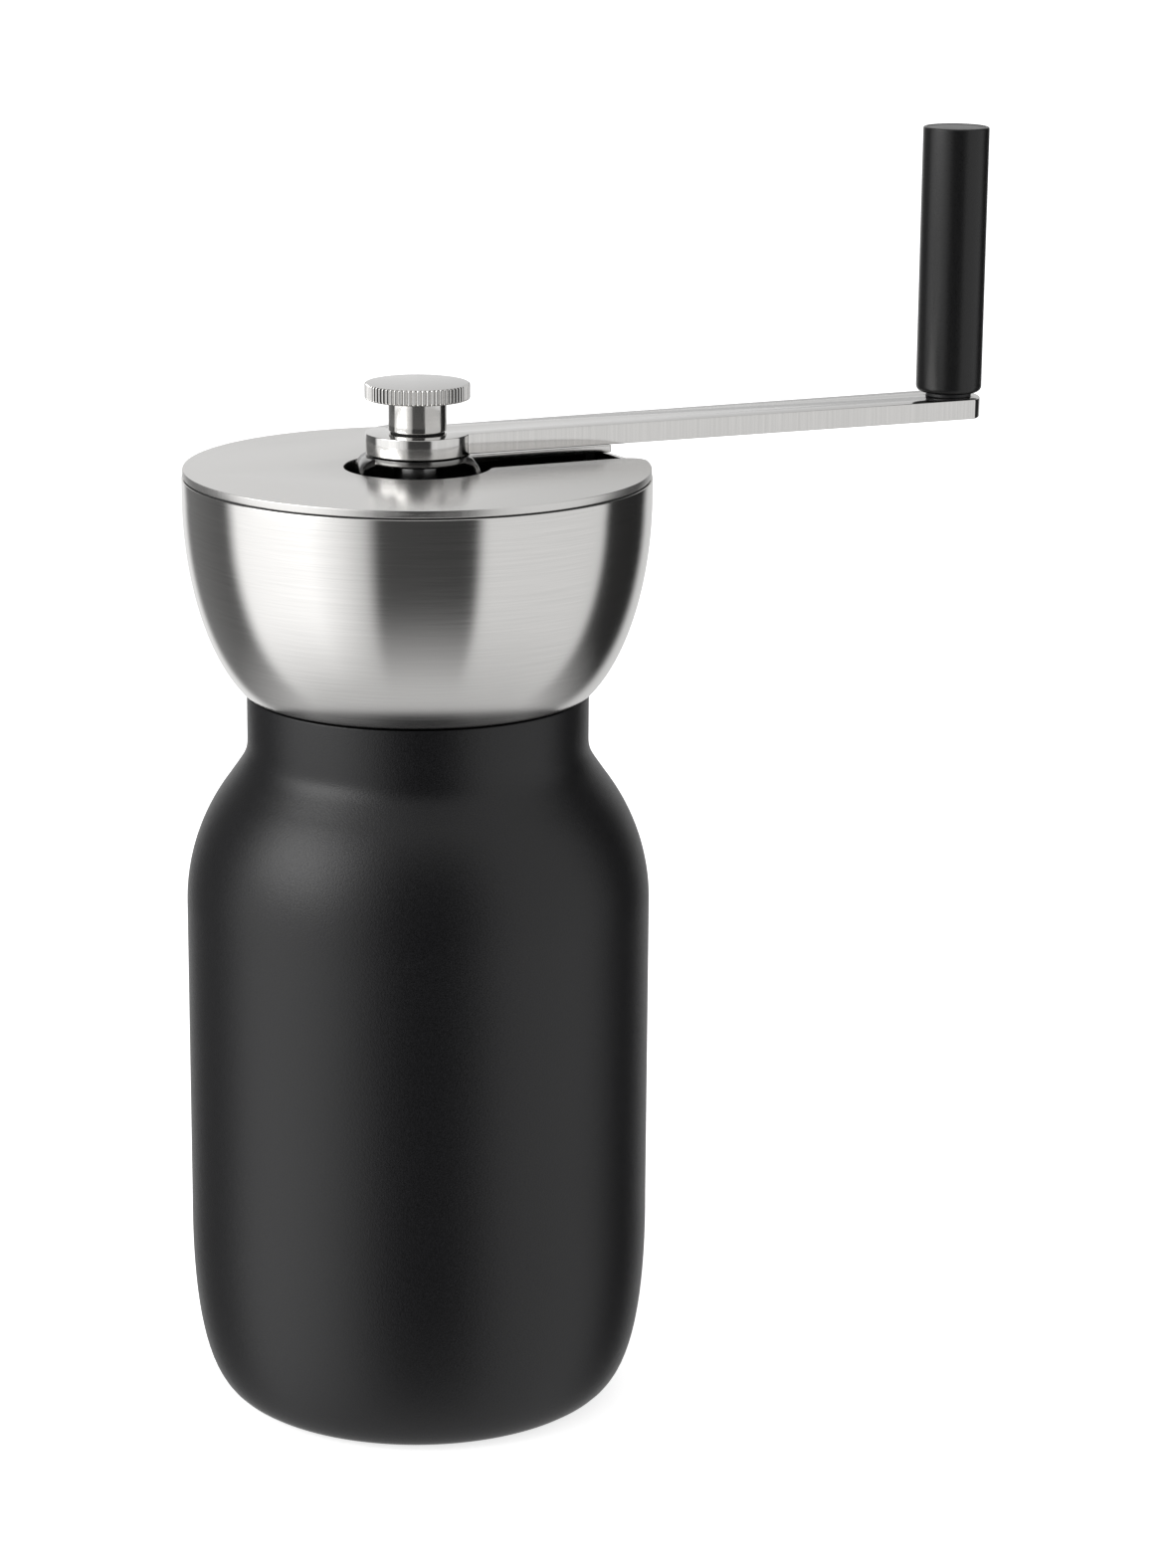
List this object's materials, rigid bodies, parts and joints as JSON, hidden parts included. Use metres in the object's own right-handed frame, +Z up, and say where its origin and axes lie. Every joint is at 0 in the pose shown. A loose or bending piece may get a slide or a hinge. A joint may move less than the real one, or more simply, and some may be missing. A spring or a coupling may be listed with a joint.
{
  "type": "hand crank coffee grinder",
  "caption": "Hand crank coffee grinder: steel hopper bowl with slotted lid on a black jar, burrs inside, and a flat crank arm with a turning grip.",
  "frame": {"origin": "on the jar's axis, at the face that it stands on", "axes": "+Z up along the axis of jar, bowl and shaft; +X along the crank arm from the shaft to the grip"},
  "size_m": [0.1721, 0.0928, 0.2534],
  "materials": {
    "jar_coat": "matt black coat with a fine grain",
    "brushed_steel": "fine brushed grain running round the axis",
    "lid_steel": "fine straight brushed grain",
    "polished_steel": "turned and polished",
    "knurled_steel": "turned, with a straight knurl",
    "grip_black": "satin black",
    "black_plastic": "moulded",
    "rubber_black": "matt",
    "burr_steel": "hardened, dull",
    "bush_bronze": "sintered",
    "bush_plastic": "moulded",
    "zinc_steel": "plain bright"
  },
  "bodies": {
    "jar": {"jar_shell": "jar_coat", "jar_foot_pad": "rubber_black", "jar_thread_ring": "black_plastic"},
    "gasket": {"jar_gasket": "rubber_black"},
    "head": {"hopper_bowl": "brushed_steel", "bowl_collar": "black_plastic", "collar_screws": "zinc_steel", "burr_housing": "black_plastic", "outer_burr": "burr_steel", "bearing_spider": "zinc_steel", "lower_bush": "bush_bronze", "bearing_bridge": "lid_steel", "bridge_screws": "zinc_steel", "bearing_sleeve": "polished_steel", "upper_bush": "bush_bronze"},
    "lid": {"lid_plate": "lid_steel", "lid_seal": "rubber_black"},
    "crank": {"shaft": "polished_steel", "crank_arm": "lid_steel", "thrust_washer": "zinc_steel", "pressure_spring": "zinc_steel", "shaft_circlip": "burr_steel", "grip_axle": "polished_steel", "grip_washer": "black_plastic"},
    "burr": {"inner_burr": "burr_steel", "detent_washer": "zinc_steel"},
    "nut": {"adjusting_nut": "black_plastic"},
    "washer": {"lock_washer": "rubber_black"},
    "knob": {"clamping_knob": "knurled_steel"},
    "grip": {"grip_sleeve": "grip_black", "grip_lower_bush": "bush_plastic", "grip_upper_bush": "bush_plastic", "grip_cap": "grip_black"}
  },
  "joints": [
    {"name": "head_rise", "type": "slide", "parent": "jar", "child": "gasket", "axis": [0, 0, 1], "range_m": [0, 0.0045]},
    {"name": "head_turn", "type": "hinge", "parent": "gasket", "child": "head", "pos_m": [0, 0, 0.147], "axis": [0, 0, 1], "range_deg": [0, 540]},
    {"name": "lid_lift", "type": "slide", "parent": "head", "child": "lid", "axis": [0, 0, 1], "range_m": [0, 0.035]},
    {"name": "crank_turn", "type": "hinge", "parent": "head", "child": "crank", "pos_m": [0, 0, 0.196], "axis": [0, 0, 1], "continuous": true},
    {"name": "grip_spin", "type": "hinge", "parent": "crank", "child": "grip", "pos_m": [0.1189, 0, 0.22], "axis": [0, 0, 1], "continuous": true},
    {"name": "knob_rise", "type": "slide", "parent": "crank", "child": "washer", "axis": [0, 0, 1], "range_m": [0, 0.004]},
    {"name": "knob_turn", "type": "hinge", "parent": "washer", "child": "knob", "pos_m": [0, 0, 0.203], "axis": [0, 0, 1], "range_deg": [0, 1440]},
    {"name": "burr_gap", "type": "slide", "parent": "crank", "child": "burr", "axis": [0, 0, 1], "range_m": [-0.0016, 0.0002], "deforming": ["pressure_spring"]},
    {"name": "adjust_turn", "type": "hinge", "parent": "burr", "child": "nut", "pos_m": [0, 0, 0.1234], "axis": [0, 0, 1], "range_deg": [-720, 90]}
  ],
  "couplings": [
    {"joint": "head_turn", "follows": "head_rise", "rad_per_m": 2094.4},
    {"joint": "knob_turn", "follows": "knob_rise", "rad_per_m": 6283.2},
    {"joint": "adjust_turn", "follows": "burr_gap", "rad_per_m": 7854}
  ]
}
